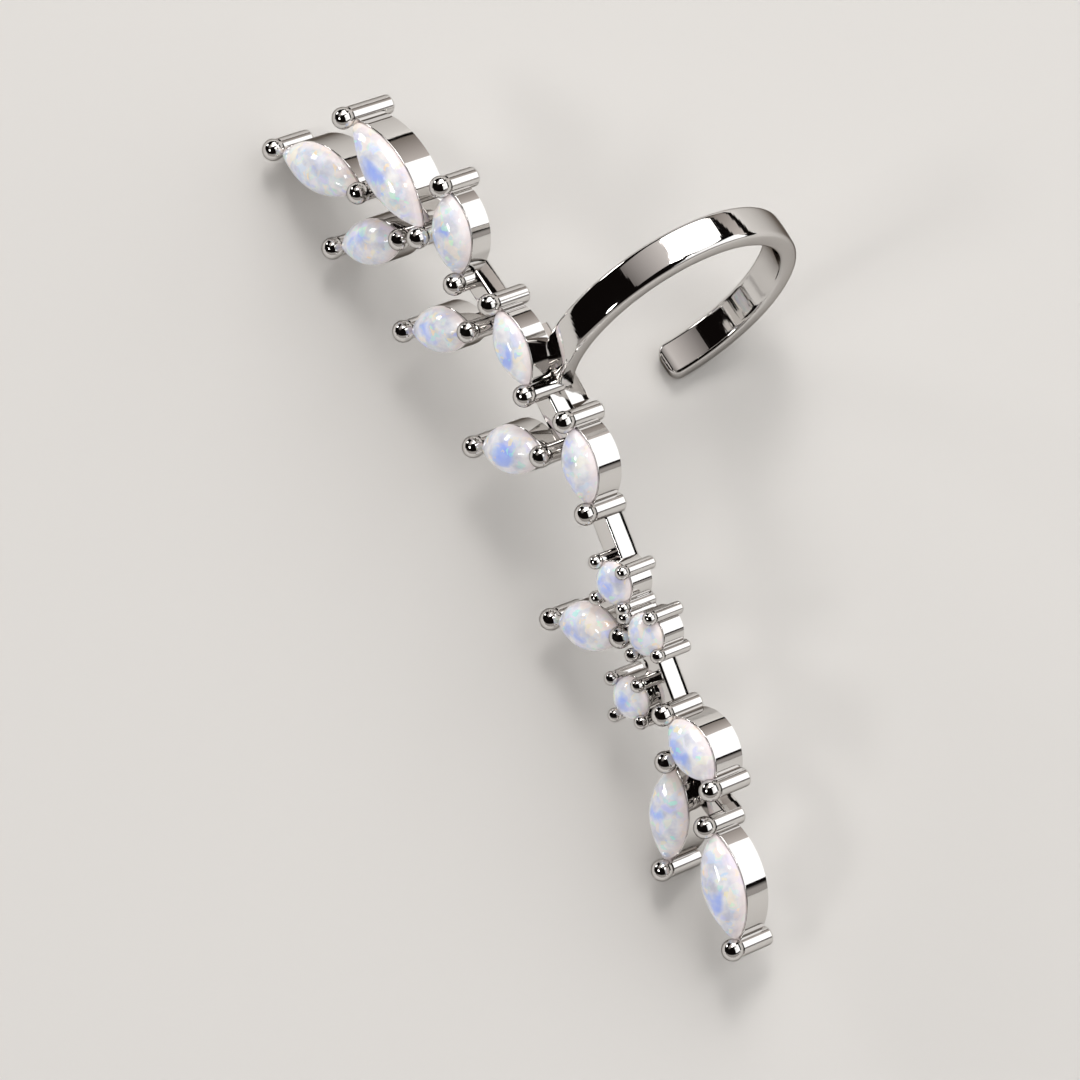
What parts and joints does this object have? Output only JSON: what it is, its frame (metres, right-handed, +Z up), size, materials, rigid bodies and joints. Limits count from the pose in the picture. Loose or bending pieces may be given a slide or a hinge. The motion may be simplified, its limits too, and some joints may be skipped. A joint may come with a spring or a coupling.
{
  "type": "ear cuff",
  "caption": "Ear cuff with an open C-shaped band and a curved spine of claw-set marquise and round opals.",
  "frame": {"origin": "middle of the box round the object, at the height of the surface it lies on", "axes": "+Z up from the surface it lies on, +Y along the spine towards its top end, +X to the right of the spine, where the band stands"},
  "size_m": [0.0204, 0.043, 0.0123],
  "materials": {
    "white_metal": "mirror polished",
    "opal": "polished translucent opal with play of colour"
  },
  "bodies": {
    "root": {"metal_mount": "white_metal", "opal_1": "opal", "opal_2": "opal", "opal_3": "opal", "opal_4": "opal", "opal_5": "opal", "opal_6": "opal", "opal_7": "opal", "opal_8": "opal", "opal_9": "opal", "opal_10": "opal", "opal_11": "opal", "opal_12": "opal", "opal_round_1": "opal", "opal_round_2": "opal", "opal_round_3": "opal"}
  },
  "joints": []
}
